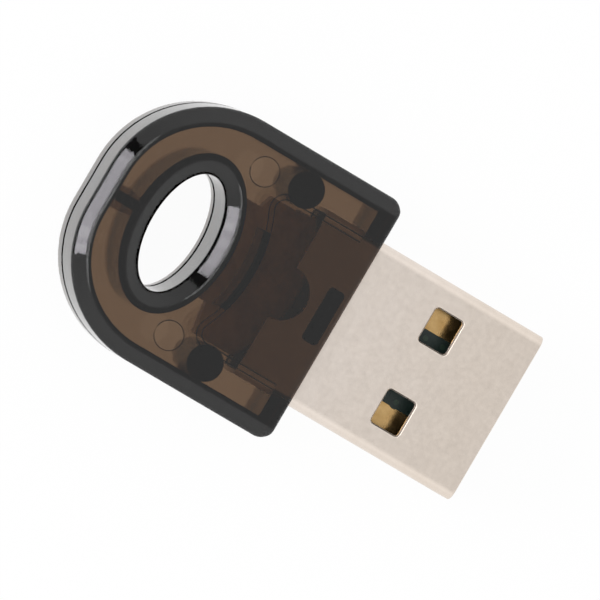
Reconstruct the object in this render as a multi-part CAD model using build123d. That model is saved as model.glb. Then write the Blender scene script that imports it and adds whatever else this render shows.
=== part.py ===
from build123d import *
import os

# USB radio adapter: a see-through housing of two covers with a keyring hole, and a folded sheet plug.
# Millimetres, +Z up, +X towards the plug's tip. The origin is the middle of the footprint, at the bottom.

# Housing outline: a D in plan, with a bevel round its rims
HOUSING_WIDTH = 17.5
REAR_FLAT = 3.0
FRONT_CORNER = 0.95
BEVEL_RUN = 0.92
BEVEL_DROP = 0.65
BEVEL_ROUNDING = 0.22
FRONT_ROUNDING = 0.3

# Housing walls and seam
SIDE_WALL = 1.25
FRONT_WALL = 1.3
PLATE = 0.67
SEAM_HEIGHT = 2.05
SEAM_GROOVE_HEIGHT = 0.5
SEAM_GROOVE_DEPTH = 0.2
LIP_THICKNESS = 0.5
LIP_HEIGHT = 0.45
LIP_CLEARANCE = 0.05

# Keyring hole: half sizes along and across the adapter, and its tube
HOLE_FROM_REAR = 6.2
HOLE_HALF_LENGTH = 2.12
HOLE_HALF_WIDTH = 4.13
TUBE_WALL = 1.4
TUBE_SEAM_HEIGHT = 1.65

# Room for the board between the keyring tube and the plug's rear end
BOARD_SPACE = 4.02

# Posts of the upper cover, with pins pressed into sockets of the lower cover
POST_DIAMETER = 2.4
POST_TO_PLUG = 0.83
POST_INTO_WALL = 0.05
PIN_DIAMETER = 1.3
PIN_CLEARANCE = 0.04
PIN_TIP_GAP = 0.2

# Midline rib between the keyring tube and the rear wall
RIB_WIDTH = 0.7
LOW_RIB_WIDTH = 1.6
LOW_RIB_HEIGHT = 0.8

# Thicker pad inside both plates, over the plug and the board, in two steps with bevelled edges
PAD_HEIGHT = 0.18
PAD_WIDTH = 11.3
PAD_STEP_WIDTH = 0.36
PAD_EDGE = 0.08
PAD_CORNER = 1.1
PAD_FROM_HOLE = 2.84

# Curved rib along the rear edge of both pads, which clamps the board behind the plug
BOARD_RIB_LENGTH = 5.65
BOARD_RIB_WIDTH = 0.46
BOARD_RIB_FROM_HOLE = 2.74
CLAMP_CLEARANCE = 0.04

# Marks of the ejector pins on the inner faces
EJECTOR_DIAMETER = 2.0
EJECTOR_DEPTH = 0.06
EJECTOR_SLOPE = 45
EJECTOR_BEHIND_PLUG = 4.97
EJECTOR_OFFSET = 6.0

# Plug shell: folded sheet
PLUG_EXPOSED = 12.45
PLUG_HELD = 4.0
PLUG_WIDTH = 12.0
PLUG_HEIGHT = 4.5
SHEET = 0.3
BEND_RADIUS = 0.7
PLUG_CLEARANCE = 0.05
TIP_ROUNDING = 0.1
WINDOW_LENGTH = 2.02
WINDOW_WIDTH = 2.42
WINDOW_CORNER = 0.22
WINDOW_OFFSET = 3.0
WINDOW_FROM_TIP = 5.14
WINDOW_RIM = 0.09
WINDOW_DIP_WIDTH = 0.16
WINDOW_DIP = 0.05
REAR_NOTCH_RADIUS = 1.8
SEAM_SLIT = 0.06
DOVETAIL_FROM_TIP = 6.0
DOVETAIL_LENGTH = 2.6
DOVETAIL_DEPTH = 1.0
DOVETAIL_FLARE = 0.3

# Keys of the covers in slots of the shell, just behind the front face
KEY_LENGTH = 1.05
KEY_WIDTH = 3.75
KEY_CORNER = 0.3
KEY_BEHIND_FRONT = 0.38
KEY_CLEARANCE = 0.05

# Circuit board
BOARD_THICKNESS = 1.0
BOARD_SIDE_CLEARANCE = 0.1
BOARD_FROM_TIP = 0.3
BOARD_POST_CLEARANCE = 0.06
BOARD_TUBE_CLEARANCE = 0.12
BOARD_STEP_BEHIND_PLUG = 0.1
BOARD_TONGUE_WIDTH = 7.0
BOARD_TONGUE_OFFSET = 0.54
BOARD_SHOULDER_BEHIND_PLUG = 3.1
BOARD_SHOULDER_LENGTH = 0.35
BOARD_CORNER = 0.3
EDGE_RELIEF_DEPTH = 0.14
EDGE_RELIEF_LENGTH = 2.0
EDGE_RELIEF_BEHIND_PLUG = 1.2

# Gold contacts on the board
CONTACT_THICKNESS = 0.04
OUTER_CONTACT_FROM_SIDE = 2.5
INNER_CONTACT_OFFSET = 1.0
OUTER_CONTACT_WIDTH = 1.6
INNER_CONTACT_WIDTH = 1.4
OUTER_CONTACT_FROM_TIP = 0.8
INNER_CONTACT_FROM_TIP = 1.8
CONTACT_END_FROM_TIP = 8.4
CONTACT_CORNER = 0.2

# Plated holes beside the outer contacts, filled and masked: distance from the tip, and offset
VIA_DIAMETER = 0.36
VIA_RIM = 0.02
VIA_CLEARANCE = 0.29
VIA_PLACES = ((6.27, 2.18), (5.02, 2.22), (5.82, -2.32))

# Carrier under the board in the plug, open in the middle over the radio chip
CARRIER_HEIGHT = 0.95
CARRIER_REAR = 0.4
CARRIER_FROM_TIP = 0.3
CARRIER_WINDOW_LENGTH = 7.4
CARRIER_WINDOW_WIDTH = 7.6
CARRIER_WINDOW_BEHIND = 1.6
CARRIER_EDGE = 0.4

# Radio chip, crystal and antenna under the board
CHIP_SIDE = 4.0
CHIP_HEIGHT = 0.8
CHIP_AHEAD_OF_PLUG_REAR = 4.6
CHIP_EDGE = 0.08
CRYSTAL_LENGTH = 2.5
CRYSTAL_WIDTH = 2.0
CRYSTAL_HEIGHT = 0.6
CRYSTAL_BEHIND_PLUG = 0.85
CRYSTAL_FROM_EDGE = 2.2
CRYSTAL_RIM = 0.15
ANTENNA_WIDTH = 0.25
ANTENNA_THICKNESS = 0.04
ANTENNA_FROM_EDGE = 0.25
ANTENNA_LENGTH = 0.55
ANTENNA_PITCH = 0.5
ANTENNA_TURNS = 5

# Small two-terminal chips under the board
SMALL_CASE_LENGTH = 1.0
SMALL_CASE_WIDTH = 0.5
LARGE_CASE_LENGTH = 1.6
LARGE_CASE_WIDTH = 0.8
END_CAP = 0.25
END_CAP_PROUD = 0.03
CHIP_ROW_BEHIND_PLUG = 1.5
CRYSTAL_CAPACITOR_LEFT_FROM_EDGE = 0.42
CRYSTAL_CAPACITOR_RIGHT_FROM_EDGE = 3.9
MATCHING_INDUCTOR_FROM_EDGE = 4.6
MATCHING_CAPACITOR_FROM_EDGE = 5.5
SUPPLY_CAPACITOR_AHEAD = 2.8
SUPPLY_CAPACITOR_FRONT_OFFSET = -2.9
SUPPLY_CAPACITOR_BEHIND = 1.0
SUPPLY_CAPACITOR_REAR_FROM_EDGE = 0.5
BIAS_RESISTOR_AHEAD = 3.0
BIAS_RESISTOR_OFFSET = 2.9
DATA_RESISTOR_FROM_TIP = 7.45

# Solder that holds the shell to the board
SOLDER_LEG = 0.4
SOLDER_LENGTH = 1.6
SOLDER_FROM_REAR = 1.5

# Places that follow from the sizes
HOUSING_LENGTH = HOLE_FROM_REAR + HOLE_HALF_LENGTH + TUBE_WALL + BOARD_SPACE + PLUG_HELD
HOUSING_HEIGHT = PLUG_HEIGHT + 2 * (PLUG_CLEARANCE + PAD_HEIGHT + PLATE)
OVERALL_LENGTH = HOUSING_LENGTH + PLUG_EXPOSED
REAR_X = -OVERALL_LENGTH / 2
TIP_X = OVERALL_LENGTH / 2
FRONT_X = REAR_X + HOUSING_LENGTH
HOLE_X = REAR_X + HOLE_FROM_REAR
ROOF = HOUSING_HEIGHT - PLATE
MIDDLE_Z = HOUSING_HEIGHT / 2
SHELL_REAR_X = FRONT_X - PLUG_HELD
SHELL_TOP = MIDDLE_Z + PLUG_HEIGHT / 2
SHELL_FLOOR = MIDDLE_Z - PLUG_HEIGHT / 2 + SHEET
SHELL_INNER_WIDTH = PLUG_WIDTH - 2 * SHEET
BOARD_BOTTOM = SHELL_FLOOR + CARRIER_HEIGHT
BOARD_TOP = BOARD_BOTTOM + BOARD_THICKNESS
BOARD_WIDTH = SHELL_INNER_WIDTH - 2 * BOARD_SIDE_CLEARANCE
POST_OFFSET = HOUSING_WIDTH / 2 - SIDE_WALL + POST_INTO_WALL - POST_DIAMETER / 2
BOARD_EDGE_Y = POST_OFFSET - POST_DIAMETER / 2 - BOARD_POST_CLEARANCE
BOARD_REAR_X = HOLE_X + HOLE_HALF_LENGTH + TUBE_WALL + BOARD_TUBE_CLEARANCE
POST_X = SHELL_REAR_X - POST_TO_PLUG - POST_DIAMETER / 2
OUTER_CONTACT_OFFSET = PLUG_WIDTH / 2 - OUTER_CONTACT_FROM_SIDE
CHIP_ROW_X = SHELL_REAR_X - CHIP_ROW_BEHIND_PLUG
DATA_RESISTOR_X = TIP_X - DATA_RESISTOR_FROM_TIP
KEY_X = FRONT_X - KEY_BEHIND_FRONT - KEY_LENGTH / 2


# Shared helpers

def prism(sketch, bottom, top):
    """A flat sketch raised into an upright prism between two heights."""
    return extrude(Pos(0, 0, bottom) * sketch, top - bottom)


def block(x_range, width, z_range, y=0.0):
    """A plain block given by its ends, its width and its heights."""
    length = x_range[1] - x_range[0]
    plan = Pos((x_range[0] + x_range[1]) / 2, y) * Rectangle(length, width)
    return prism(plan, z_range[0], z_range[1])


def mirrored(shape):
    """A shape with its copy on the other side of the midline."""
    return shape + mirror(shape, Plane.XZ)


def housing_plan(side, front):
    """The D outline, drawn in by one distance at its sides and rear and another at its front."""
    half = HOUSING_WIDTH / 2 - side
    length = HOUSING_LENGTH - side - front
    radius = (HOUSING_WIDTH - REAR_FLAT) / 2 - side
    plan = Pos(REAR_X + side + length / 2, 0) * Rectangle(length, 2 * half)
    return fillet(plan.vertices().group_by(Axis.X)[0], radius)


def hole_plan(out):
    """The keyring hole's oval, grown by a distance."""
    return Pos(HOLE_X, 0) * Ellipse(HOLE_HALF_LENGTH + out, HOLE_HALF_WIDTH + out)


# Housing

def bevel(body, face_height, ahead):
    """Bevel the rims that lie at one height, apart from the straight front edge."""
    face = body.faces().filter_by(Axis.Z).filter_by(lambda f: abs(f.center().Z - face_height) < 1e-6)[0]
    edges = face.edges().filter_by(lambda e: e.center().X < ahead)
    return chamfer(edges, BEVEL_RUN, BEVEL_DROP, reference=face)


def housing_body():
    """The closed housing before it is hollowed and parted."""
    body = prism(housing_plan(0, 0), 0, HOUSING_HEIGHT) - prism(hole_plan(0), 0, HOUSING_HEIGHT)
    ahead = FRONT_X - BEVEL_RUN / 2
    for height in (HOUSING_HEIGHT, 0):
        body = bevel(body, height, ahead)
    for height in (HOUSING_HEIGHT - BEVEL_DROP, BEVEL_DROP):
        edges = body.edges().filter_by(lambda e, z=height: abs(e.center().Z - z) < 1e-4)
        body = fillet(edges.filter_by(lambda e: e.length > BEVEL_RUN), BEVEL_ROUNDING)
    corners = RectangleRounded(2 * HOUSING_LENGTH, HOUSING_WIDTH, FRONT_CORNER)
    body &= prism(Pos(REAR_X, 0) * corners, 0, HOUSING_HEIGHT)
    front = body.faces().sort_by(Axis.X)[-1]
    return fillet(front.edges(), FRONT_ROUNDING)


def seam_groove():
    """The shadow line between the covers, outside and in the keyring hole."""
    depth = SEAM_GROOVE_DEPTH
    outside = housing_plan(-depth, -depth) - housing_plan(depth, depth)
    inside = hole_plan(depth) - hole_plan(-depth)
    groove = prism(outside, SEAM_HEIGHT, SEAM_HEIGHT + SEAM_GROOVE_HEIGHT)
    return groove + prism(inside, TUBE_SEAM_HEIGHT, TUBE_SEAM_HEIGHT + SEAM_GROOVE_HEIGHT)


def tube_end():
    """The end of the upper cover's keyring tube, which reaches below the covers' seam."""
    return prism(hole_plan(TUBE_WALL) - hole_plan(0), TUBE_SEAM_HEIGHT, SEAM_HEIGHT)


def lip_plan(clearance):
    """The lower cover's lip along the inner faces of the side and rear walls."""
    outer = housing_plan(SIDE_WALL - LIP_THICKNESS - clearance, FRONT_WALL)
    inner = housing_plan(SIDE_WALL, FRONT_WALL - LIP_THICKNESS)
    return outer - inner


def posts(diameter, low, high):
    """Round columns at both post places."""
    return mirrored(prism(Pos(POST_X, POST_OFFSET) * Circle(diameter / 2), low, high))


def room(low, high, rib_width, rib_top):
    """The space inside the walls, less the keyring tube, the posts and the midline rib."""
    space = prism(housing_plan(SIDE_WALL, FRONT_WALL), low, high)
    space -= prism(hole_plan(TUBE_WALL), low, high)
    space -= posts(POST_DIAMETER, low, high)
    return space - block((REAR_X, HOLE_X), rib_width, rib_top)


def pad_step(inset, face_height, rise):
    """One step of a pad: its rear follows the keyring hole, and its free edge is bevelled."""
    reach = (HOLE_X, FRONT_X - FRONT_WALL / 2)
    plan = Pos(sum(reach) / 2, 0) * Rectangle(reach[1] - reach[0], PAD_WIDTH - 2 * inset)
    plan = (plan - hole_plan(PAD_FROM_HOLE + inset)).faces().sort_by(Axis.X)[-1]
    step = extrude(Pos(0, 0, face_height) * plan, rise)
    corners = step.edges().filter_by(Axis.Z).group_by(Axis.X)[0]
    step = fillet(corners, PAD_CORNER - inset)
    face = step.faces().filter_by(Axis.Z).sort_by(Axis.Z)[-1 if rise > 0 else 0]
    return chamfer(face.edges(), PAD_EDGE)


def pad(face_height, into):
    """The two-stepped pad inside one plate."""
    rise = into * PAD_HEIGHT / 2
    return pad_step(0, face_height, rise) + pad_step(PAD_STEP_WIDTH, face_height + rise, rise)


def ejector_marks(face_height, into):
    """Shallow round marks with sloped rims that the mould's ejector pins leave on a plate."""
    x = SHELL_REAR_X - EJECTOR_BEHIND_PLUG
    disc = Pos(x, EJECTOR_OFFSET, face_height) * Circle(EJECTOR_DIAMETER / 2)
    return mirrored(extrude(disc, into * EJECTOR_DEPTH, taper=EJECTOR_SLOPE))


def plug_opening():
    """The opening of the front wall round the plug shell."""
    section = RectangleRounded(
        PLUG_WIDTH + 2 * PLUG_CLEARANCE, PLUG_HEIGHT + 2 * PLUG_CLEARANCE, BEND_RADIUS + PLUG_CLEARANCE
    )
    return extrude(Plane.YZ.offset(FRONT_X - 2 * FRONT_WALL) * Pos(0, MIDDLE_Z) * section, 3 * FRONT_WALL)


def board_rib(low, high):
    """The curved rib that meets the board behind the plug."""
    curve = hole_plan(BOARD_RIB_FROM_HOLE + BOARD_RIB_WIDTH) - hole_plan(BOARD_RIB_FROM_HOLE)
    return prism(curve, low, high) & block((HOLE_X, SHELL_REAR_X), BOARD_RIB_LENGTH, (low, high))


def key(clearance, low, high):
    """The key behind the front face, or with a clearance the slot for it."""
    plan = RectangleRounded(KEY_LENGTH + 2 * clearance, KEY_WIDTH + 2 * clearance, KEY_CORNER)
    return prism(Pos(KEY_X, 0) * plan, low, high)


def upper_cover():
    """The deeper cover: plate, pad, walls, keyring tube, posts with pins, ribs and key."""
    cover = split(housing_body(), Plane.XY.offset(SEAM_HEIGHT), keep=Keep.TOP)
    cover -= room(SEAM_HEIGHT, ROOF, RIB_WIDTH, (SEAM_HEIGHT, ROOF))
    cover -= ejector_marks(ROOF, 1)
    cover += pad(ROOF, -1)
    cover -= plug_opening()
    cover -= prism(lip_plan(LIP_CLEARANCE), SEAM_HEIGHT, SEAM_HEIGHT + LIP_HEIGHT + LIP_CLEARANCE)
    cover += tube_end()
    cover -= seam_groove()
    cover += board_rib(BOARD_TOP + CLAMP_CLEARANCE, ROOF)
    cover += key(0, BOARD_TOP + CLAMP_CLEARANCE, ROOF)
    return cover + posts(PIN_DIAMETER, PLATE + PIN_TIP_GAP, SEAM_HEIGHT)


def lower_cover():
    """The shallower cover: plate, pad, walls with a lip, keyring tube, sockets, ribs and key."""
    cover = split(housing_body(), Plane.XY.offset(SEAM_HEIGHT), keep=Keep.BOTTOM)
    cover -= room(PLATE, SEAM_HEIGHT, LOW_RIB_WIDTH, (PLATE, PLATE + LOW_RIB_HEIGHT))
    cover -= ejector_marks(PLATE, -1)
    cover += pad(PLATE, 1)
    cover -= plug_opening()
    cover -= posts(PIN_DIAMETER + 2 * PIN_CLEARANCE, PLATE, SEAM_HEIGHT)
    cover -= tube_end()
    cover += prism(lip_plan(0), SEAM_HEIGHT - LIP_HEIGHT, SEAM_HEIGHT + LIP_HEIGHT)
    cover += board_rib(PLATE, BOARD_BOTTOM - CLAMP_CLEARANCE)
    return cover + key(0, PLATE, SHELL_FLOOR - CLAMP_CLEARANCE)


# Plug

def windows(low, high):
    """The two square windows, through one wall of the shell."""
    x = TIP_X - WINDOW_FROM_TIP - WINDOW_LENGTH / 2
    plan = Pos(x, WINDOW_OFFSET) * RectangleRounded(WINDOW_LENGTH, WINDOW_WIDTH, WINDOW_CORNER)
    return mirrored(prism(plan, low, high))


def rolled_rims(shell, near, height, width, drop):
    """Bevel the window rims that lie at one height: a width along the wall and a drop into it."""
    rims = shell.edges().filter_by(lambda e: abs(e.center().Z - height) < 1e-4)
    rims = rims.filter_by(lambda e: near[0] < e.center().X < near[1] and e.length < PLUG_WIDTH / 2)
    walls = shell.faces().filter_by(Axis.Z).filter_by(lambda f: abs(f.center().Z - height) < 1e-4)
    return chamfer(rims, width, drop, reference=walls[0]) if walls else chamfer(rims, width)


def seam_slit():
    """The joint where the folded sheet meets itself underneath, with one dovetail."""
    start = TIP_X - DOVETAIL_FROM_TIP - DOVETAIL_LENGTH
    end = TIP_X - DOVETAIL_FROM_TIP
    line = Polyline(
        (SHELL_REAR_X - SHEET, 0),
        (start, 0),
        (start - DOVETAIL_FLARE, DOVETAIL_DEPTH),
        (end + DOVETAIL_FLARE, DOVETAIL_DEPTH),
        (end, 0),
        (TIP_X + SHEET, 0),
    )
    return prism(trace(line, SEAM_SLIT), SHELL_FLOOR - 2 * SHEET, SHELL_FLOOR + SHEET / 2)


def connector_shell():
    """The plug's sheet shell, folded round and closed underneath."""
    length = PLUG_EXPOSED + PLUG_HELD
    start = Plane.YZ.offset(SHELL_REAR_X) * Pos(0, MIDDLE_Z)
    shell = extrude(start * RectangleRounded(PLUG_WIDTH, PLUG_HEIGHT, BEND_RADIUS), length)
    shell = fillet(shell.faces().sort_by(Axis.X)[-1].edges(), TIP_ROUNDING)
    inner = RectangleRounded(SHELL_INNER_WIDTH, PLUG_HEIGHT - 2 * SHEET, BEND_RADIUS - SHEET)
    shell -= extrude(start * inner, length)
    shell -= windows(SHELL_TOP - 2 * SHEET, SHELL_TOP)
    shell -= windows(SHELL_FLOOR - SHEET, SHELL_FLOOR + SHEET)
    near = (TIP_X - WINDOW_FROM_TIP - WINDOW_LENGTH - SHEET, TIP_X - WINDOW_FROM_TIP + SHEET)
    for height in (SHELL_TOP, SHELL_FLOOR - SHEET):
        shell = rolled_rims(shell, near, height, WINDOW_DIP_WIDTH, WINDOW_DIP)
    for height in (SHELL_TOP - WINDOW_DIP, SHELL_FLOOR - SHEET + WINDOW_DIP):
        shell = rolled_rims(shell, near, height, WINDOW_RIM, WINDOW_RIM)
    shell -= prism(Pos(SHELL_REAR_X, 0) * Circle(REAR_NOTCH_RADIUS), MIDDLE_Z, SHELL_TOP + SHEET)
    shell -= key(KEY_CLEARANCE, 0, HOUSING_HEIGHT)
    return shell - seam_slit()


def board_plan():
    """The board's outline: wide in the plug, narrower behind it, with a rear tongue at the keyring tube."""
    front = TIP_X - BOARD_FROM_TIP
    step = SHELL_REAR_X - BOARD_STEP_BEHIND_PLUG
    shoulder = SHELL_REAR_X - BOARD_SHOULDER_BEHIND_PLUG
    neck = shoulder - BOARD_SHOULDER_LENGTH
    wide, narrow = BOARD_WIDTH / 2, BOARD_EDGE_Y
    left = BOARD_TONGUE_OFFSET + BOARD_TONGUE_WIDTH / 2
    right = BOARD_TONGUE_OFFSET - BOARD_TONGUE_WIDTH / 2
    points = [(front, wide), (step, wide), (step, narrow), (shoulder, narrow), (neck, left), (HOLE_X, left)]
    points += [(HOLE_X, right), (neck, right), (shoulder, -narrow)]
    points += [(step, -narrow), (step, -wide), (front, -wide)]
    plan = make_face(Polyline(*points, points[0])) - hole_plan(TUBE_WALL + BOARD_TUBE_CLEARANCE)
    return plan.faces().sort_by(Axis.X)[-1]


def circuit_board():
    """The board, with the relief in its edge beside the post and the plated holes."""
    board = prism(board_plan(), BOARD_BOTTOM, BOARD_TOP)
    relief_front = SHELL_REAR_X - EDGE_RELIEF_BEHIND_PLUG
    relief = (relief_front - EDGE_RELIEF_LENGTH, relief_front)
    board -= block(relief, 2 * EDGE_RELIEF_DEPTH, (BOARD_BOTTOM, BOARD_TOP), BOARD_EDGE_Y)
    corners = board.edges().filter_by(Axis.Z).group_by(Axis.X)[-1]
    board = fillet(corners, BOARD_CORNER)
    return board - via_columns(VIA_DIAMETER, BOARD_BOTTOM, BOARD_TOP)


def via_columns(diameter, low, high):
    """Round columns at the places of the plated holes."""
    return Part() + [
        prism(Pos(TIP_X - from_tip, y) * Circle(diameter / 2), low, high) for from_tip, y in VIA_PLACES
    ]


def plated_vias():
    """Filled holes through the board, just proud of its top."""
    return via_columns(VIA_DIAMETER, BOARD_BOTTOM, BOARD_TOP + VIA_RIM)


def contact(y, width, from_tip):
    """One gold contact on top of the board, cut back where it passes a plated hole."""
    length = CONTACT_END_FROM_TIP - from_tip
    plan = Pos(TIP_X - from_tip - length / 2, y) * RectangleRounded(length, width, CONTACT_CORNER)
    top = BOARD_TOP + CONTACT_THICKNESS
    return prism(plan, BOARD_TOP, top) - via_columns(VIA_DIAMETER + 2 * VIA_CLEARANCE, BOARD_TOP, top)


def board_carrier():
    """The tray that holds the board up in the plug, open over the radio chip."""
    reach = (SHELL_REAR_X + CARRIER_REAR, TIP_X - CARRIER_FROM_TIP)
    tray = block(reach, BOARD_WIDTH, (SHELL_FLOOR, BOARD_BOTTOM))
    long_edges = tray.edges().filter_by(Axis.X).group_by(Axis.Z)[0]
    tray = chamfer(long_edges, CARRIER_EDGE)
    window = (reach[0] + CARRIER_WINDOW_BEHIND, reach[0] + CARRIER_WINDOW_BEHIND + CARRIER_WINDOW_LENGTH)
    return tray - block(window, CARRIER_WINDOW_WIDTH, (SHELL_FLOOR, BOARD_BOTTOM))


def shell_solder(side):
    """A wedge of solder between the board's top and the shell's side wall."""
    wall = side * SHELL_INNER_WIDTH / 2
    x = SHELL_REAR_X + SOLDER_FROM_REAR
    corner = (wall, BOARD_TOP)
    inward = (wall - side * SOLDER_LEG, BOARD_TOP)
    upward = (wall, BOARD_TOP + SOLDER_LEG)
    section = make_face(Polyline(corner, inward, upward, corner))
    return extrude(Plane.YZ.offset(x) * section, SOLDER_LENGTH)


# Parts under the board

def radio_chip():
    """The flat leadless radio chip."""
    start = SHELL_REAR_X + CHIP_AHEAD_OF_PLUG_REAR
    body = block((start, start + CHIP_SIDE), CHIP_SIDE, (BOARD_BOTTOM - CHIP_HEIGHT, BOARD_BOTTOM))
    return chamfer(body.faces().sort_by(Axis.Z)[0].edges(), CHIP_EDGE)


def crystal_can():
    """The crystal: a base with a smaller rounded lid."""
    place = Pos(SHELL_REAR_X - CRYSTAL_BEHIND_PLUG, BOARD_EDGE_Y - CRYSTAL_FROM_EDGE)
    middle = BOARD_BOTTOM - CRYSTAL_HEIGHT / 2
    base = prism(place * RectangleRounded(CRYSTAL_WIDTH, CRYSTAL_LENGTH, CRYSTAL_RIM), middle, BOARD_BOTTOM)
    inset = 2 * CRYSTAL_RIM
    lid = place * RectangleRounded(CRYSTAL_WIDTH - inset, CRYSTAL_LENGTH - inset, CRYSTAL_RIM)
    return base + prism(lid, BOARD_BOTTOM - CRYSTAL_HEIGHT, middle)


def antenna_trace():
    """The printed antenna: a meander on the board's rear tongue, with its feed."""
    far = BOARD_REAR_X + ANTENNA_FROM_EDGE
    near = far + ANTENNA_LENGTH
    start = -ANTENNA_PITCH * ANTENNA_TURNS
    points = [(near, start)]
    for turn in range(2 * ANTENNA_TURNS + 1):
        x = far if turn % 2 == 0 else near
        y = start + turn * ANTENNA_PITCH
        points += [(x, y), (x, y + ANTENNA_PITCH)]
    line = Polyline(*points[:-1])
    return prism(trace(line, ANTENNA_WIDTH), BOARD_BOTTOM - ANTENNA_THICKNESS, BOARD_BOTTOM)


def two_terminal(length, width):
    """A two-terminal chip as wide as it is high: a body between two end caps that stand just proud."""
    body = Box(length, width - 2 * END_CAP_PROUD, width - 2 * END_CAP_PROUD)
    for side in (-1, 1):
        body += Pos(side * (length - END_CAP) / 2, 0, 0) * Box(END_CAP, width, width)
    return body


def small_chip(x, y, turn=0):
    """A small chip under the board."""
    chip = Rot(0, 0, turn) * two_terminal(SMALL_CASE_LENGTH, SMALL_CASE_WIDTH)
    return Pos(x, y, BOARD_BOTTOM - SMALL_CASE_WIDTH / 2) * chip


def row_chip(from_edge):
    """A small chip of the row behind the plug, placed from the board's edge on the +Y side."""
    return small_chip(CHIP_ROW_X, BOARD_EDGE_Y - from_edge)


def large_chip(x, y):
    """A large chip under the board."""
    return Pos(x, y, BOARD_BOTTOM - LARGE_CASE_WIDTH / 2) * two_terminal(LARGE_CASE_LENGTH, LARGE_CASE_WIDTH)


NODES = {
    "upper_cover": upper_cover(),
    "lower_cover": lower_cover(),
    "connector_shell": connector_shell(),
    "circuit_board": circuit_board(),
    "plated_vias": plated_vias(),
    "vbus_contact": contact(-OUTER_CONTACT_OFFSET, OUTER_CONTACT_WIDTH, OUTER_CONTACT_FROM_TIP),
    "data_minus_contact": contact(-INNER_CONTACT_OFFSET, INNER_CONTACT_WIDTH, INNER_CONTACT_FROM_TIP),
    "data_plus_contact": contact(INNER_CONTACT_OFFSET, INNER_CONTACT_WIDTH, INNER_CONTACT_FROM_TIP),
    "ground_contact": contact(OUTER_CONTACT_OFFSET, OUTER_CONTACT_WIDTH, OUTER_CONTACT_FROM_TIP),
    "board_carrier": board_carrier(),
    "shell_solder_left": shell_solder(1),
    "shell_solder_right": shell_solder(-1),
    "radio_chip": radio_chip(),
    "crystal_can": crystal_can(),
    "antenna_trace": antenna_trace(),
    "matching_inductor": row_chip(MATCHING_INDUCTOR_FROM_EDGE),
    "matching_capacitor": row_chip(MATCHING_CAPACITOR_FROM_EDGE),
    "crystal_capacitor_left": row_chip(CRYSTAL_CAPACITOR_LEFT_FROM_EDGE),
    "crystal_capacitor_right": row_chip(CRYSTAL_CAPACITOR_RIGHT_FROM_EDGE),
    "supply_capacitor_front": large_chip(
        SHELL_REAR_X + SUPPLY_CAPACITOR_AHEAD, SUPPLY_CAPACITOR_FRONT_OFFSET
    ),
    "supply_capacitor_rear": large_chip(
        SHELL_REAR_X - SUPPLY_CAPACITOR_BEHIND, SUPPLY_CAPACITOR_REAR_FROM_EDGE - BOARD_EDGE_Y
    ),
    "bias_resistor": small_chip(SHELL_REAR_X + BIAS_RESISTOR_AHEAD, BIAS_RESISTOR_OFFSET),
    "data_minus_resistor": small_chip(DATA_RESISTOR_X, -INNER_CONTACT_OFFSET, 90),
    "data_plus_resistor": small_chip(DATA_RESISTOR_X, INNER_CONTACT_OFFSET, 90),
}

os.makedirs("parts", exist_ok=True)
for name, solid in NODES.items():
    export_step(solid, f"parts/{name}.step")
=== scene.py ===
import math

import bpy
from mathutils import Matrix, Vector

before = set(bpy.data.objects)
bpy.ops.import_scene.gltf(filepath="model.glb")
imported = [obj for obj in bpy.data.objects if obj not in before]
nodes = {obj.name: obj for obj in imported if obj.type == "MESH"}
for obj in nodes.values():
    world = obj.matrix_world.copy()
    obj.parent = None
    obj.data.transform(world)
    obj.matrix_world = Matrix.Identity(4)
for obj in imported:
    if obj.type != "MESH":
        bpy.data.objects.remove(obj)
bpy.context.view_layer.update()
MM = 0.001

# Lengths are in millimetres, except where a comment says metres.

# The middle of the adapter's height.
MIDDLE = 3.15

# The camera of the photograph, with pixels of its 600 x 600 frame. It sees from CLIP_START to
# CLIP_END, in metres.
PICTURE_SIDE = 600
SENSOR_WIDTH = 36.0
CAMERA_DISTANCE = 600.0
PIXELS_PER_MM = 15.69
CAMERA_LEAN = (-0.2181, -0.0151)
CAMERA_ROLL = math.radians(30.58)
FRAMING = (7.62, 1.0)
AIM = Vector((0, 0, MIDDLE))
CLIP_START = 0.01
CLIP_END = 10

# The plug's plating is a little darker towards its tip, between these lengths along the adapter.
PLUG_FADE = (2.6, 15.1)
# The folded sheet's inner side gets a painted shade, near black, within this reach of the middle
# across and in height.
PLUG_SHADE_REACH = (5.75, 1.97)

# The smoky plastic bends light by this index, and absorbs all but this colour, per metre.
PLASTIC_INDEX = 1.55
SMOKE_COLOUR = (0.376, 0.213, 0.022)
SMOKE_DENSITY = 2500
# The housing's top and bottom rims, further than this reach from its middle height, look rounded.
TOP_RIM_REACH = 2.95
TOP_RIM_ROUNDING = 0.25
# So do the bevels' other rims, but only outside the walls' inner faces and at the keyring hole.
LOW_RIM_REACH = 2.0
LOW_RIM_ROUNDING = 0.4
# A place is outside those faces when it is further than this reach from the centre of the rear
# corner on its side, measured straight sideways where it is in front of that centre.
CORNER_CENTRE = (-7.845, 1.5)
OUTER_REACH = 6.3
# The keyring hole's rims are inside this oval, given by its middle and its half widths.
HOLE_X = -8.895
HOLE_REACH = (2.92, 4.93)
BEVEL_SAMPLES = 12

# The board's bare part reaches this far from a point behind it, with a soft edge.
BARE_CENTRE = (-9.0, 0.3, 2.65)
BARE_REACH = 9.1
BARE_EDGE = 0.1

# Edges steeper than the first angle are creases, and faces that meet at less than the second are
# one flat patch. Points nearer to each other than the distance, in metres, are one.
CREASE_ANGLE = math.radians(28)
FLAT_ANGLE = math.radians(0.3)
WELD_DISTANCE = 1e-7

# Most of a noise's values lie between these two.
NOISE_RANGE = (0.3, 0.7)

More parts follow.
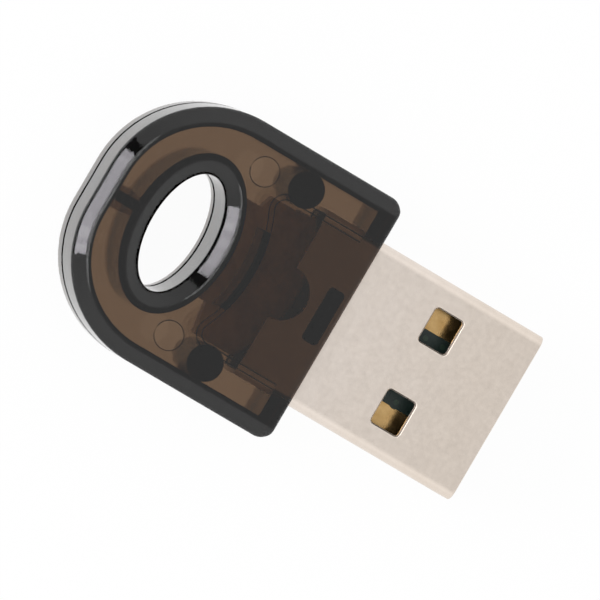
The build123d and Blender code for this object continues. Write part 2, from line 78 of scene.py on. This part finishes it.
# Light levels, where 1 shows a white surface as white. Azimuths are in degrees, and a direction
# leans from -X up to +Z.
HORIZON_LEVEL = 1.0
ZENITH_LEVEL = 0.63
SIDE_GAIN = 1.4
SOFTBOX_LEVEL = 6.5
SOFTBOX_DISTANCE = 420.0
SOFTBOX_DIRECTION = (-0.852, 0.523)
SOFTBOX_AZIMUTHS = (14.3, -29.6)
SOFTBOX_HEIGHT = 140.0
SOFTBOX_TINT = (1.02, 0.985, 1.045)
SOFTBOX_FADE = 1.2
SOFTBOX_BLOTCHES = 40.0
SOFTBOX_CONTRAST = 1.4
# A dark card stands a little further off than the softbox, and shows round it in reflections.
CARD_LEVEL = 0.1
CARD_AZIMUTHS = (22.5, -29.6)
CARD_HEIGHT = 430.0
CARD_BEHIND = 1.1
STRIP_LEVEL = 3.0
STRIP_AZIMUTHS = (40.0, -60.0)
STRIP_DIRECTION = (-0.375, 0.927)
STRIP_HEIGHT = 250.0
PANEL_STEPS = 12
FLOOR_WHITE = 0.9
FLOOR_GLOW = 0.96
FLOOR_RADIUS = 700.0
FLOOR_STEPS = 64
BOUNCES = 32


class Graph:
    """A node tree with short calls for its nodes and links."""

    def __init__(self, tree):
        self.tree = tree

    def put(self, socket, value):
        """Give an input a value, or a link from another node's output."""
        if isinstance(value, bpy.types.NodeSocket):
            self.tree.links.new(value, socket)
        else:
            socket.default_value = value

    def node(self, kind, settings=(), **inputs):
        """A node, with its inputs by name, or by number after a low line."""
        made = self.tree.nodes.new(kind)
        for key, value in dict(settings).items():
            setattr(made, key, value)
        for key, value in inputs.items():
            name = int(key[1:]) if key[0] == "_" else key.replace("_", " ")
            self.put(made.inputs[name], value)
        return made

    def math(self, operation, *values, clamp=False):
        made = self.node("ShaderNodeMath", {"operation": operation, "use_clamp": clamp})
        for socket, value in zip(made.inputs, values):
            self.put(socket, value)
        return made.outputs[0]

    def vector(self, operation, *values):
        made = self.node("ShaderNodeVectorMath", {"operation": operation})
        for socket, value in zip(made.inputs, values):
            self.put(socket, value)
        return made

    def split(self, vector):
        """A vector's three numbers."""
        return tuple(self.node("ShaderNodeSeparateXYZ", Vector=vector).outputs)

    def fit(self, amount, source, target=(0, 1)):
        """An amount carried from one range of numbers over to another, and held inside it."""
        made = self.node("ShaderNodeMapRange", Value=amount, From_Min=source[0],
                         From_Max=source[1], To_Min=target[0], To_Max=target[1])
        return made.outputs["Result"]

    def shader_mix(self, share, first, second):
        return self.node("ShaderNodeMixShader", _0=share, _1=first, _2=second).outputs[0]


def emptied(owner):
    """The graph of a material or a world, with no nodes in it yet."""
    owner.use_nodes = True
    owner.node_tree.nodes.clear()
    return Graph(owner.node_tree)


# Node materials
class Finish(Graph):
    """A material with one principled shader, to which layers of noise are added."""

    def __init__(self, name):
        self.material = bpy.data.materials.new(name)
        self.material.use_nodes = True
        super().__init__(self.material.node_tree)
        self.shader = self.tree.nodes["Principled BSDF"]
        self.output = self.tree.nodes["Material Output"]
        self.place = self.node("ShaderNodeTexCoord").outputs["Object"]

    def set(self, **values):
        for key, value in values.items():
            self.put(self.shader.inputs[key.replace("_", " ")], value)

    def noise(self, grains_per_mm, detail=3.0, stretch=(1, 1, 1), roughness=0.5):
        spread = self.node("ShaderNodeMapping", Vector=self.place, Scale=stretch)
        texture = self.node("ShaderNodeTexNoise", Vector=spread.outputs["Vector"],
                            Scale=grains_per_mm / MM, Detail=detail, Roughness=roughness)
        return texture.outputs["Fac"]

    def blend(self, amount, stops):
        """A run of colours, from stops of position and colour."""
        ramp = self.node("ShaderNodeValToRGB", Fac=amount)
        elements = ramp.color_ramp.elements
        while len(elements) < len(stops):
            elements.new(0.5)
        for element, (position, colour) in zip(elements, stops):
            element.position = position
            element.color = (*colour, 1)
        return ramp.outputs["Color"]

    def shades(self, amount, dark, light):
        """A run of two colours that a noise fills from end to end."""
        return self.blend(amount, list(zip(NOISE_RANGE, (dark, light))))

    def mixed(self, share, first, second, way="MIX"):
        mix = self.node("ShaderNodeMix", {"data_type": "RGBA", "blend_type": way},
                        Factor=share, A=first, B=second)
        return mix.outputs["Result"]

    def length(self, first, second):
        pair = self.node("ShaderNodeCombineXYZ", X=first, Y=second)
        return self.vector("LENGTH", pair.outputs[0]).outputs["Value"]

    def rough(self, amount, low, high):
        self.set(Roughness=self.fit(amount, NOISE_RANGE, (low, high)))

    def bump(self, amount, depth_mm, rounding=None):
        """A fine relief, on edges that look rounded by a radius in metres."""
        relief = self.node("ShaderNodeBump", Height=amount, Distance=depth_mm * MM)
        if rounding:
            edge = self.node("ShaderNodeBevel", {"samples": BEVEL_SAMPLES}, Radius=rounding)
            self.put(relief.inputs["Normal"], edge.outputs["Normal"])
        self.set(Normal=relief.outputs["Normal"])


def rim_rounding(finish):
    """How far the plastic's edges look rounded: not at all inside the walls."""
    x, y, z = finish.split(finish.place)
    height = finish.math("ABSOLUTE", finish.math("SUBTRACT", z, MIDDLE * MM))
    behind = finish.math("MINIMUM", finish.math("SUBTRACT", x, CORNER_CENTRE[0] * MM), 0)
    sideways = finish.math("SUBTRACT", finish.math("ABSOLUTE", y), CORNER_CENTRE[1] * MM)
    beside = finish.math("MAXIMUM", sideways, 0)
    outside = finish.math("GREATER_THAN", finish.length(behind, beside), OUTER_REACH * MM)
    along = finish.math("DIVIDE", finish.math("SUBTRACT", x, HOLE_X * MM), HOLE_REACH[0] * MM)
    across = finish.math("DIVIDE", y, HOLE_REACH[1] * MM)
    at_hole = finish.math("LESS_THAN", finish.length(along, across), 1)
    open_side = finish.math("MAXIMUM", outside, at_hole)
    past_low = finish.math("GREATER_THAN", height, LOW_RIM_REACH * MM)
    past_top = finish.math("GREATER_THAN", height, TOP_RIM_REACH * MM)
    low_rim = finish.math("MULTIPLY", open_side, past_low)
    wide = finish.math("MULTIPLY", low_rim, LOW_RIM_ROUNDING * MM)
    return finish.math("MAXIMUM", wide, finish.math("MULTIPLY", past_top, TOP_RIM_ROUNDING * MM))


def smoky_plastic():
    """See-through plastic with a fine grain, whose rims look rounded."""
    finish = Finish("smoky_plastic")
    finish.set(IOR=PLASTIC_INDEX, Transmission_Weight=1.0)
    hazy, clear = (0.97, 0.96, 0.95), (1, 1, 1)
    finish.set(Base_Color=finish.shades(finish.noise(0.5), hazy, clear))
    finish.rough(finish.noise(1.5), 0.02, 0.05)
    fine, coarse = finish.noise(7, 2), finish.noise(0.35, 2)
    relief = finish.math("MULTIPLY_ADD", fine, 0.8, coarse)
    finish.bump(relief, 0.0035, rim_rounding(finish))
    smoke = finish.node("ShaderNodeVolumeAbsorption", Color=(*SMOKE_COLOUR, 1),
                        Density=SMOKE_DENSITY)
    finish.put(finish.output.inputs["Volume"], smoke.outputs["Volume"])
    return finish.material


def nickel_plate():
    """Satin plating with faint stains, darker towards the tip, and with a painted shade, near
    black, on the sheet's inner side.
    """
    finish = Finish("nickel_plate")
    finish.set(Metallic=1.0)
    x, y, z = finish.split(finish.place)
    fade = finish.fit(x, [end * MM for end in PLUG_FADE])
    cloud = finish.noise(0.25, 3, roughness=0.6)
    drift = finish.math("MULTIPLY_ADD", cloud, 0.5, fade)
    near, far = (0.815, 0.735, 0.67), (0.79, 0.70, 0.617)
    clean = finish.blend(drift, [(0.1, near), (1.0, far)])
    spots = finish.noise(1.1, 6, stretch=(1, 0.5, 1), roughness=0.75)
    stains = finish.blend(spots, [(0.35, (0.95, 0.945, 0.94)), (0.6, (1, 1, 1))])
    plating = finish.mixed(1.0, clean, stains, "MULTIPLY")
    across = finish.math("COMPARE", y, 0.0, PLUG_SHADE_REACH[0] * MM)
    upright = finish.math("COMPARE", z, MIDDLE * MM, PLUG_SHADE_REACH[1] * MM)
    inside = finish.math("MULTIPLY", across, upright)
    # Painted shade: a near-black colour on the sheet's inner side, standing in for the shade
    # inside the plug.
    painted_inner_shade = finish.shades(finish.noise(1), (0.03, 0.027, 0.024), (0.05, 0.045, 0.04))
    finish.set(Base_Color=finish.mixed(inside, plating, painted_inner_shade))
    finish.rough(finish.noise(3, 4), 0.31, 0.38)
    finish.bump(finish.noise(7, 4), 0.0012)
    return finish.material


def solder_mask():
    """Dark green mask in the plug, and bare brown laminate behind it round the antenna."""
    finish = Finish("solder_mask")
    grain = finish.noise(1, 4)
    mask = finish.shades(grain, (0.018, 0.045, 0.035), (0.03, 0.065, 0.055))
    weave = finish.noise(0.45, 3, roughness=0.6)
    laminate = finish.blend(weave, [(0.35, (0.55, 0.3, 0.1)), (0.6, (0.8, 0.48, 0.18))])
    centre = [c * MM for c in BARE_CENTRE]
    away = finish.vector("DISTANCE", finish.place, centre).outputs["Value"]
    edge = [(BARE_REACH - BARE_EDGE) * MM, (BARE_REACH + BARE_EDGE) * MM]
    finish.set(Base_Color=finish.mixed(finish.fit(away, edge), laminate, mask))
    finish.rough(grain, 0.25, 0.4)
    finish.bump(finish.noise(4, 3), 0.004)
    return finish.material


def plain(name, dark, light, grains_per_mm, roughness, depth_mm, metallic=0.0):
    """A grained finish between two colours, with a relief four times as fine."""
    finish = Finish(name)
    finish.set(Metallic=metallic)
    grain = finish.noise(grains_per_mm, 4)
    finish.set(Base_Color=finish.shades(grain, dark, light))
    finish.rough(grain, *roughness)
    finish.bump(finish.noise(grains_per_mm * 4, 3), depth_mm)
    return finish.material


# Each plain finish: its dark and light colours, grains per mm, least and most roughness, the
# depth of its relief, and 1.0 for a metal.
PLAIN_FINISHES = {
    "gold": ((0.6, 0.37, 0.14), (0.75, 0.5, 0.22), 2, (0.17, 0.24), 0.001, 1.0),
    "carrier_plastic": ((0.02, 0.02, 0.02), (0.035, 0.035, 0.033), 2, (0.4, 0.55), 0.004),
    "solder": ((0.5, 0.5, 0.49), (0.66, 0.66, 0.64), 2, (0.25, 0.45), 0.01, 1.0),
    "chip_resin": ((0.012, 0.012, 0.013), (0.025, 0.025, 0.026), 6, (0.45, 0.6), 0.004),
    "crystal_metal": ((0.55, 0.54, 0.5), (0.68, 0.66, 0.62), 1, (0.2, 0.35), 0.003, 1.0),
    "masked_copper": ((0.04, 0.09, 0.06), (0.07, 0.13, 0.085), 2, (0.3, 0.4), 0.003),
    "inductor_ceramic": ((0.3, 0.32, 0.33), (0.4, 0.42, 0.43), 4, (0.35, 0.5), 0.003),
    "capacitor_ceramic": ((0.25, 0.16, 0.09), (0.34, 0.23, 0.14), 4, (0.35, 0.5), 0.003),
    "resistor_ceramic": ((0.015, 0.015, 0.017), (0.03, 0.03, 0.032), 4, (0.3, 0.45), 0.003),
}
FINISHES = {
    "smoky_plastic": smoky_plastic(),
    "nickel_plate": nickel_plate(),
    "solder_mask": solder_mask(),
}
for name, row in PLAIN_FINISHES.items():
    FINISHES[name] = plain(name, *row)


def even_shading(crease, flat):
    """Exact normals on flat faces, smooth ones over roundings, and creases at steeper edges."""
    group = bpy.data.node_groups.new("even_shading", "GeometryNodeTree")
    for way in ("INPUT", "OUTPUT"):
        group.interface.new_socket("Geometry", in_out=way, socket_type="NodeSocketGeometry")
    net = Graph(group)
    start = net.node("NodeGroupInput")
    weld = net.node("GeometryNodeMergeByDistance", Geometry=start.outputs[0],
                    Distance=WELD_DISTANCE)
    fold = net.node("GeometryNodeInputMeshEdgeAngle").outputs["Unsigned Angle"]
    steep = net.math("GREATER_THAN", fold, crease)
    parted = net.node("GeometryNodeSplitEdges", Mesh=weld.outputs[0], Selection=steep).outputs[0]
    bent = net.math("GREATER_THAN", fold, flat)
    patches = net.node("GeometryNodeSplitEdges", Mesh=parted, Selection=bent).outputs[0]

    # A face counts by the area of the whole flat patch that it belongs to.
    island = net.node("GeometryNodeInputMeshIsland").outputs["Island Index"]
    area = net.node("GeometryNodeInputMeshFaceArea").outputs[0]
    whole = net.node("GeometryNodeAccumulateField", {"domain": "FACE"}, _0=area, Group_ID=island)
    index = net.node("GeometryNodeInputIndex").outputs[0]
    patch = net.node("GeometryNodeSampleIndex", {"domain": "FACE"}, Geometry=patches,
                     Value=whole.outputs["Total"], Index=index)

    # At each of its corners it also counts by the corner's angle.
    spot = net.node("GeometryNodeInputPosition").outputs[0]
    at_corner = {"domain": "CORNER", "data_type": "FLOAT_VECTOR"}
    sides = []
    for step in (1, -1):
        corner = net.node("GeometryNodeOffsetCornerInFace", Offset=step).outputs[0]
        there = net.node("GeometryNodeFieldAtIndex", at_corner, Index=corner, Value=spot)
        side = net.vector("SUBTRACT", there.outputs[0], spot).outputs[0]
        sides.append(net.vector("NORMALIZE", side).outputs[0])
    angle = net.math("ARCCOSINE", net.vector("DOT_PRODUCT", *sides).outputs["Value"])

    fan = net.node("GeometryNodeInputNormal").outputs["True Normal"]
    for domain, share in (("FACE", patch.outputs[0]), ("CORNER", angle), ("POINT", 1.0)):
        scaled = net.node("ShaderNodeVectorMath", {"operation": "SCALE"}, _0=fan, Scale=share)
        on = {"domain": domain, "data_type": "FLOAT_VECTOR"}
        fan = net.node("GeometryNodeFieldOnDomain", on, _0=scaled.outputs[0]).outputs[0]
    normal = net.vector("NORMALIZE", fan).outputs[0]
    smooth = net.node("GeometryNodeSetShadeSmooth", Geometry=parted).outputs[0]
    made = net.node("GeometryNodeSetMeshNormal", {"mode": "FREE", "domain": "POINT"},
                    Mesh=smooth, Custom_Normal=normal)
    net.node("NodeGroupOutput", _0=made.outputs[0])
    return group


EVEN = even_shading(CREASE_ANGLE, FLAT_ANGLE)
for node in nodes.values():
    node.modifiers.new("even_shading", "NODES").node_group = EVEN
    for slot in node.material_slots:
        slot.material = FINISHES[slot.material.name.split(".")[0]]


# Camera
def basis(lean, roll):
    """The camera's right, up and back, from the X and Y of its back and its roll."""
    back = Vector((lean[0], lean[1], math.sqrt(1 - lean[0] ** 2 - lean[1] ** 2)))
    along = (Vector((1, 0, 0)) - back * back.x).normalized()
    across = back.cross(along)
    right = math.cos(roll) * along + math.sin(roll) * across
    up = math.cos(roll) * across - math.sin(roll) * along
    return right, up, back


def photo_camera():
    right, up, back = basis(CAMERA_LEAN, CAMERA_ROLL)
    data = bpy.data.cameras.new("photo_camera")
    data.sensor_width = SENSOR_WIDTH
    data.lens = PIXELS_PER_MM * CAMERA_DISTANCE * SENSOR_WIDTH / PICTURE_SIDE
    data.shift_x = FRAMING[0] / PICTURE_SIDE
    data.shift_y = -FRAMING[1] / PICTURE_SIDE
    data.clip_start = CLIP_START
    data.clip_end = CLIP_END
    camera = bpy.data.objects.new("photo_camera", data)
    turn = Matrix((right, up, back)).transposed().to_4x4()
    camera.matrix_world = Matrix.Translation((AIM + back * CAMERA_DISTANCE) * MM) @ turn
    bpy.context.scene.collection.objects.link(camera)
    bpy.context.scene.camera = camera


photo_camera()


# Studio
def stage_mesh(name, corners, faces, material):
    mesh = bpy.data.meshes.new(name)
    mesh.from_pydata([Vector(c) * MM for c in corners], [], faces)
    mesh.materials.append(material)
    made = bpy.data.objects.new(name, mesh)
    bpy.context.scene.collection.objects.link(made)
    return made


def softbox_cloth(graph, level):
    """The softbox's level from place to place: falling towards +Y, with soft blotches."""
    place = graph.node("ShaderNodeTexCoord").outputs["Object"]
    y = graph.split(place)[1]
    blotches = graph.node("ShaderNodeTexNoise", Vector=place, Scale=SOFTBOX_BLOTCHES)
    base = level * (1 - SOFTBOX_CONTRAST / 2)
    fade = graph.math("MULTIPLY_ADD", y, -SOFTBOX_FADE * level, base)
    return graph.math("MULTIPLY_ADD", blotches.outputs["Fac"], SOFTBOX_CONTRAST * level, fade)


def lit(name, level, uneven=False):
    """A glowing surface, plain or with the softbox's tint and cloth."""
    material = bpy.data.materials.new(name)
    graph = emptied(material)
    glow = graph.node("ShaderNodeEmission", Strength=level)
    if uneven:
        graph.put(glow.inputs["Color"], (*SOFTBOX_TINT, 1))
        graph.put(glow.inputs["Strength"], softbox_cloth(graph, level))
    graph.node("ShaderNodeOutputMaterial", Surface=glow.outputs["Emission"])
    return material


def floor_material():
    """Paper that takes shadows, is white to the camera and in gloss, and is clear from below."""
    material = bpy.data.materials.new("white_floor")
    graph = emptied(material)
    paper = graph.node("ShaderNodeBsdfDiffuse", Color=(FLOOR_WHITE, FLOOR_WHITE, FLOOR_WHITE, 1))
    glow = graph.node("ShaderNodeEmission")
    ray = graph.node("ShaderNodeLightPath").outputs
    mirrored = graph.math("ADD", ray["Is Glossy Ray"], ray["Is Transmission Ray"])
    share = graph.math("MULTIPLY_ADD", ray["Is Camera Ray"], FLOOR_GLOW, mirrored, clamp=True)
    above = graph.shader_mix(share, paper.outputs[0], glow.outputs[0])
    clear = graph.node("ShaderNodeBsdfTransparent")
    below = graph.node("ShaderNodeNewGeometry").outputs["Backfacing"]
    either = graph.shader_mix(below, above, clear.outputs[0])
    graph.node("ShaderNodeOutputMaterial", Surface=either)
    return material


def round_floor():
    turns = [math.tau * i / FLOOR_STEPS for i in range(FLOOR_STEPS)]
    rim = [(FLOOR_RADIUS * math.cos(a), FLOOR_RADIUS * math.sin(a), 0) for a in turns]
    stage_mesh("floor", rim, [tuple(range(FLOOR_STEPS))], floor_material())


def towards(azimuth, distance, height):
    """A place round the object, its azimuth in degrees from -X towards +Y."""
    a = math.radians(azimuth)
    return (-distance * math.cos(a), distance * math.sin(a), height)


def upright_panel(name, azimuths, centre_height, height, reach, material):
    """An upright curved panel round the object between two azimuths, tilted to face it."""
    lean = math.atan2(centre_height, reach)
    corners = []
    for i in range(PANEL_STEPS + 1):
        a = azimuths[0] + (azimuths[1] - azimuths[0]) * i / PANEL_STEPS
        for side in (-0.5, 0.5):
            r = reach - side * height * math.sin(lean)
            z = centre_height + side * height * math.cos(lean)
            corners.append(towards(a, r, z))
    faces = [(2 * i, 2 * i + 1, 2 * i + 3, 2 * i + 2) for i in range(PANEL_STEPS)]
    return stage_mesh(name, corners, faces, material)


def soft_panel(name, azimuths, direction, height, level, behind=1.0, uneven=False):
    """A glowing panel that the camera doesn't see, at the softbox's distance times behind."""
    reach = SOFTBOX_DISTANCE * -direction[0] * behind
    centre_height = SOFTBOX_DISTANCE * direction[1] * behind
    glow = lit(name + "_glow", level, uneven)
    panel = upright_panel(name, azimuths, centre_height, height, reach, glow)
    panel.visible_camera = False
    return panel


round_floor()
soft_panel("softbox", SOFTBOX_AZIMUTHS, SOFTBOX_DIRECTION, SOFTBOX_HEIGHT, SOFTBOX_LEVEL,
           uneven=True)
strip = soft_panel("strip", STRIP_AZIMUTHS, STRIP_DIRECTION, STRIP_HEIGHT, STRIP_LEVEL)
card = soft_panel("black_card", CARD_AZIMUTHS, SOFTBOX_DIRECTION, CARD_HEIGHT, CARD_LEVEL,
                  behind=CARD_BEHIND)
for panel in (strip, card):
    for ray in ("visible_diffuse", "visible_transmission", "visible_shadow"):
        setattr(panel, ray, False)


def dome():
    """White round the horizon, brighter above both sides, and plain white to the camera."""
    world = bpy.data.worlds.new("studio")
    bpy.context.scene.world = world
    graph = emptied(world)
    _, y, z = graph.split(graph.node("ShaderNodeTexCoord").outputs["Generated"])
    height = graph.fit(z, (0, 1), (HORIZON_LEVEL, ZENITH_LEVEL))
    slant = graph.math("MULTIPLY", y, z)
    square = graph.math("MULTIPLY", slant, slant)
    sides = graph.math("MULTIPLY_ADD", square, SIDE_GAIN, height)
    seen = graph.node("ShaderNodeLightPath").outputs["Is Camera Ray"]
    level = graph.fit(seen, (0, 1), (sides, 1.0))
    glow = graph.node("ShaderNodeBackground", Color=(1, 1, 1, 1), Strength=level)
    graph.node("ShaderNodeOutputWorld", Surface=glow.outputs[0])


dome()
scene = bpy.context.scene
scene.view_settings.view_transform = "Standard"
scene.cycles.max_bounces = BOUNCES
scene.cycles.transmission_bounces = BOUNCES
scene.cycles.transparent_max_bounces = BOUNCES
